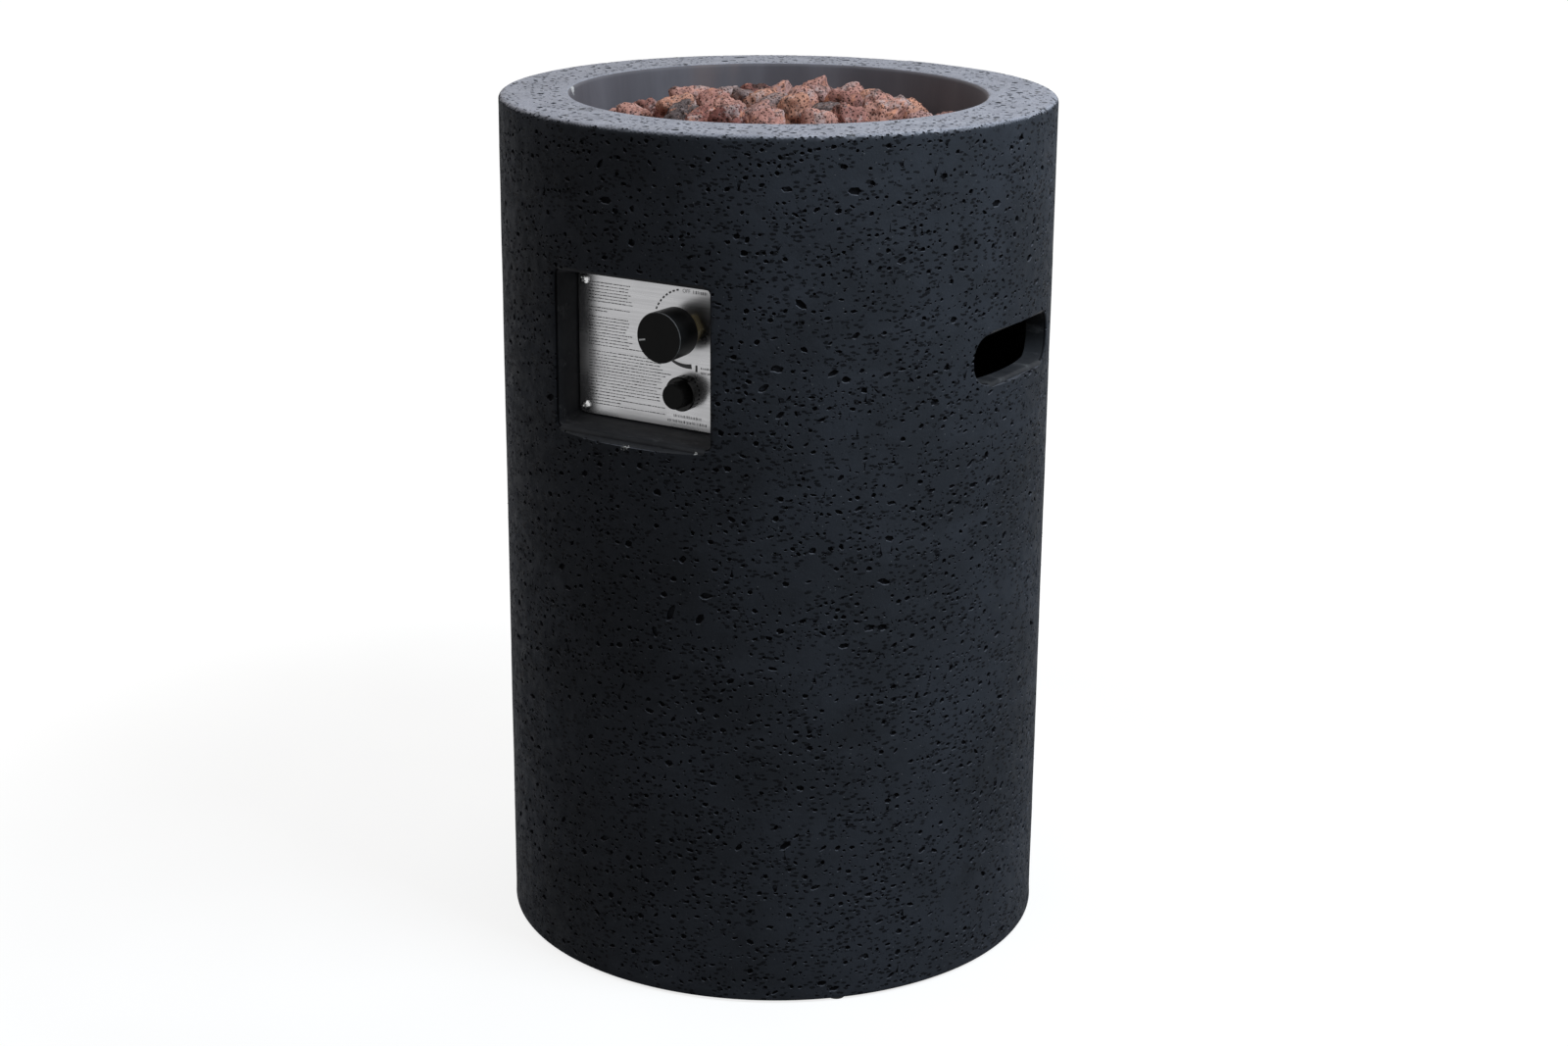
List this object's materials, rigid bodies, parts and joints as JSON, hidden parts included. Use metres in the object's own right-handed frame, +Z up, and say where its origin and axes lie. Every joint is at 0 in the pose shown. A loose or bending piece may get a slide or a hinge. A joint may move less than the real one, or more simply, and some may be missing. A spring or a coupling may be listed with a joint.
{
  "type": "gas fire pit",
  "caption": "Round concrete column gas fire pit with a lava-stone bed, a push-and-turn gas knob and a spark igniter in a recessed steel panel.",
  "frame": {"origin": "middle of the base, on the surface the column stands on", "axes": "+Z up along the column, the control panel faces -Y, hand slots at +X and -X"},
  "size_m": [0.4, 0.4, 0.6296],
  "materials": {
    "concrete": "matte anthracite cast concrete with open pores",
    "rubber": "matte black",
    "stainless": "satin",
    "screw_steel": "bright",
    "spring_steel": "drawn wire",
    "valve_alloy": "die cast, satin",
    "brass": "machined",
    "copper": "drawn copper",
    "knob_plastic": "satin black",
    "pointer_white": "white inlay",
    "collar_plastic": "gloss black",
    "button_plastic": "matte black",
    "insulator_ceramic": "white, unglazed",
    "lead_silicone": "grey silicone",
    "battery_case": "plain jacket",
    "lava": "porous reddish brown to grey lava"
  },
  "bodies": {
    "column": {"column_shell": "concrete", "foot_pads": "rubber", "control_plate": "stainless", "plate_screws": "screw_steel", "valve_body": "valve_alloy", "valve_lock_nut": "screw_steel", "spindle_retainer": "screw_steel", "knob_return_spring": "spring_steel", "safety_magnet": "brass", "inlet_elbow": "brass", "gas_pipe": "valve_alloy", "pipe_nuts": "brass", "gas_injector": "brass", "mixer_tube": "stainless", "burner": "stainless", "burner_screws": "screw_steel", "burner_nuts": "screw_steel", "burner_pan": "stainless", "pan_screws": "screw_steel", "pilot_bracket": "stainless", "flame_guard": "stainless", "electrode_insulator": "insulator_ceramic", "electrode_rod": "screw_steel", "thermocouple_tip": "screw_steel", "thermocouple_lead": "copper", "ignition_lead": "lead_silicone", "igniter_housing": "collar_plastic", "igniter_nut": "collar_plastic", "igniter_spring": "spring_steel", "igniter_battery": "battery_case", "igniter_terminal": "screw_steel", "lava_rocks_base": "lava", "lava_rocks": "lava"},
    "valve_plug": {"valve_plug": "brass"},
    "knob": {"control_knob": "knob_plastic", "knob_pointer": "pointer_white", "valve_spindle": "screw_steel"},
    "igniter_collar": {"igniter_collar": "collar_plastic"},
    "igniter_button": {"igniter_button": "button_plastic"}
  },
  "joints": [
    {"name": "knob_turn", "type": "hinge", "parent": "column", "child": "valve_plug", "pos_m": [0.0285, -0.165, 0.48225], "axis": [0, -1, 0], "range_deg": [-102, 78]},
    {"name": "knob_push", "type": "slide", "parent": "valve_plug", "child": "knob", "axis": [0, 1, 0], "range_m": [0, 0.005], "stiffness_N_per_m": 1500, "deforming": ["knob_return_spring"]},
    {"name": "igniter_cap_off", "type": "slide", "parent": "column", "child": "igniter_collar", "axis": [0, -1, 0], "range_m": [0, 0.03]},
    {"name": "igniter_press", "type": "slide", "parent": "igniter_collar", "child": "igniter_button", "axis": [0, 1, 0], "range_m": [0, 0.004], "stiffness_N_per_m": 1000, "deforming": ["igniter_spring"]}
  ]
}
